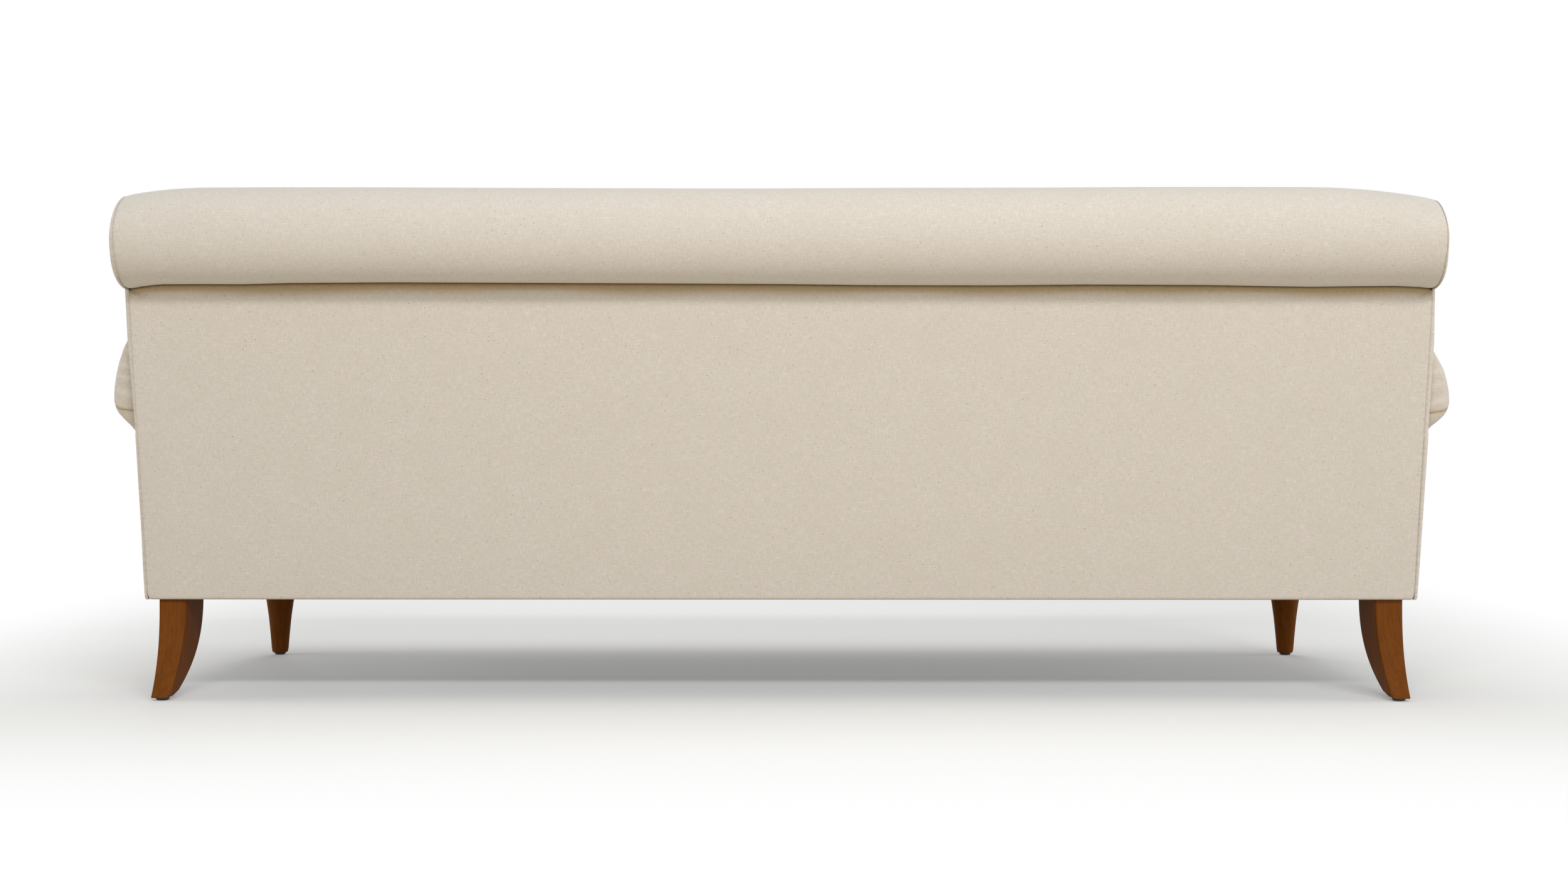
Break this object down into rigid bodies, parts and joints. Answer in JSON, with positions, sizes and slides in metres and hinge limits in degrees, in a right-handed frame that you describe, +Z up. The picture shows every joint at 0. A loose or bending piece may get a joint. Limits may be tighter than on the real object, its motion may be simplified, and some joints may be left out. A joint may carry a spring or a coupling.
{
  "type": "lawson sofa",
  "caption": "Sofa with a tight rolled back, low set-back rolled arms, loose seat cushions and swept-back rear legs in walnut.",
  "frame": {"origin": "on the floor, under the middle of the sofa", "axes": "+X along the sofa, to the right as seen from the front; +Y from the seat to the back; +Z up"},
  "size_m": [2.242, 0.8899, 0.85],
  "materials": {
    "linen": "matte",
    "cushion_linen": "matte",
    "deck_cloth": "matte",
    "dust_cloth": "matte",
    "wadding": "matte",
    "foam": "matte",
    "jute": "matte",
    "frame_timber": "matte",
    "walnut": "satin",
    "spring_steel": "satin",
    "glide_plastic": "satin"
  },
  "bodies": {
    "sofa": {"front_rail": "frame_timber", "rear_rail": "frame_timber", "side_rail_left": "frame_timber", "side_rail_right": "frame_timber", "seat_stretchers": "frame_timber", "corner_blocks": "frame_timber", "back_post_left": "frame_timber", "back_post_right": "frame_timber", "back_ribs": "frame_timber", "back_low_rail": "frame_timber", "back_top_rail": "frame_timber", "arm_front_boards": "frame_timber", "arm_stumps": "frame_timber", "arm_top_rails": "frame_timber", "arm_slats_left": "frame_timber", "arm_slats_right": "frame_timber", "seat_springs": "spring_steel", "spring_clips": "spring_steel", "spring_tie_wires": "spring_steel", "back_webbing": "jute", "deck_pad": "foam", "seat_edge_roll": "foam", "front_border_wadding": "wadding", "back_pad": "foam", "back_roll_core": "foam", "outside_back_wadding": "wadding", "arm_pad_left": "foam", "arm_pad_right": "foam", "arm_facing_pads": "wadding", "outside_arm_wadding": "wadding", "back_end_pads": "wadding", "outside_back_cover": "linen", "inside_back_cover": "linen", "back_end_panel_left": "linen", "back_end_panel_right": "linen", "arm_cover_left": "linen", "arm_cover_right": "linen", "outside_arm_cover_left": "linen", "outside_arm_cover_right": "linen", "arm_facing_left": "linen", "arm_facing_right": "linen", "front_border_cover": "linen", "deck_cloth": "deck_cloth", "dust_cover": "dust_cloth", "rear_leg_left": "walnut", "rear_leg_right": "walnut", "front_leg_left": "walnut", "front_leg_right": "walnut", "leg_bolts": "spring_steel", "leg_inserts": "spring_steel", "glides": "glide_plastic"},
    "seat_cushion_left": {"seat_cushion_cover_left": "cushion_linen", "seat_cushion_core_left": "foam"},
    "seat_cushion_middle": {"seat_cushion_cover_middle": "cushion_linen", "seat_cushion_core_middle": "foam"},
    "seat_cushion_right": {"seat_cushion_cover_right": "cushion_linen", "seat_cushion_core_right": "foam"}
  },
  "joints": [
    {"name": "cushion_left_lift", "type": "slide", "parent": "sofa", "child": "seat_cushion_left", "axis": [0, 0, 1], "range_m": [0, 0.25]},
    {"name": "cushion_middle_lift", "type": "slide", "parent": "sofa", "child": "seat_cushion_middle", "axis": [0, 0, 1], "range_m": [0, 0.25]},
    {"name": "cushion_right_lift", "type": "slide", "parent": "sofa", "child": "seat_cushion_right", "axis": [0, 0, 1], "range_m": [0, 0.25]}
  ]
}
